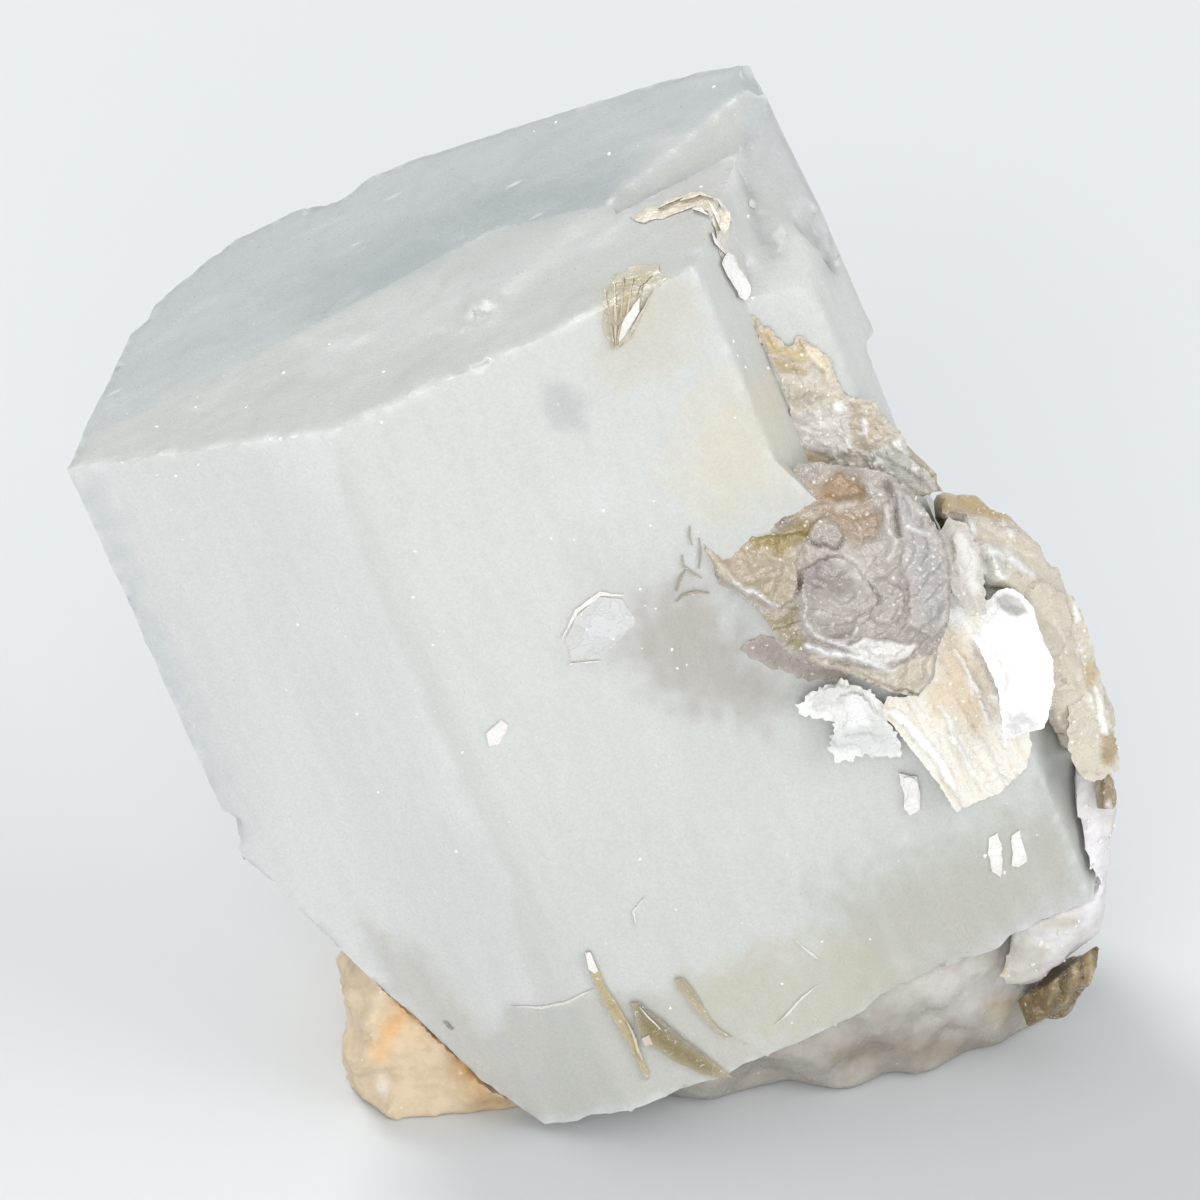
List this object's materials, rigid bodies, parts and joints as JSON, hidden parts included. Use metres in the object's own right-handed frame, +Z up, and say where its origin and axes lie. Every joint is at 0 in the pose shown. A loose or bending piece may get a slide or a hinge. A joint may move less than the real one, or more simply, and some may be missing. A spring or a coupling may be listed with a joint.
{
  "type": "aquamarine on feldspar specimen",
  "caption": "Stubby pale aquamarine prism leaning to one side on a flat-based lump of feldspar and quartz, with books and flakes of silvery and brown mica set in its right side.",
  "frame": {"origin": "middle of the outline seen from above, on the plane the specimen stands on", "axes": "+Z up; +X to the right as the specimen is shown, away from the side the crystal leans to; +Y from the front to the back"},
  "size_m": [0.0694, 0.0364, 0.0675],
  "materials": {
    "aquamarine": "glassy, milky translucent, pale blue-white",
    "feldspar": "dull, peach coloured, cleaved",
    "quartz": "greasy, grey-brown, broken",
    "albite": "dull white, sugary",
    "mica": "pearly, silvery to pale gold cleavage sheets",
    "brown_mica": "pearly, brown cleavage sheets"
  },
  "bodies": {
    "root": {"aquamarine": "aquamarine", "feldspar": "feldspar", "quartz": "quartz", "albite": "albite", "mica_silver_plate": "mica", "mica_main_book": "mica", "mica_white_fan": "mica", "mica_striated_fan": "mica", "mica_gold_cluster": "mica", "mica_golden_shell": "mica", "mica_edge_book": "brown_mica", "mica_brown_lump": "brown_mica", "mica_crest": "mica", "mica_top_spray": "mica", "mica_blade_thin": "brown_mica", "mica_blade_olive": "brown_mica", "mica_blade_short": "brown_mica"}
  },
  "joints": []
}
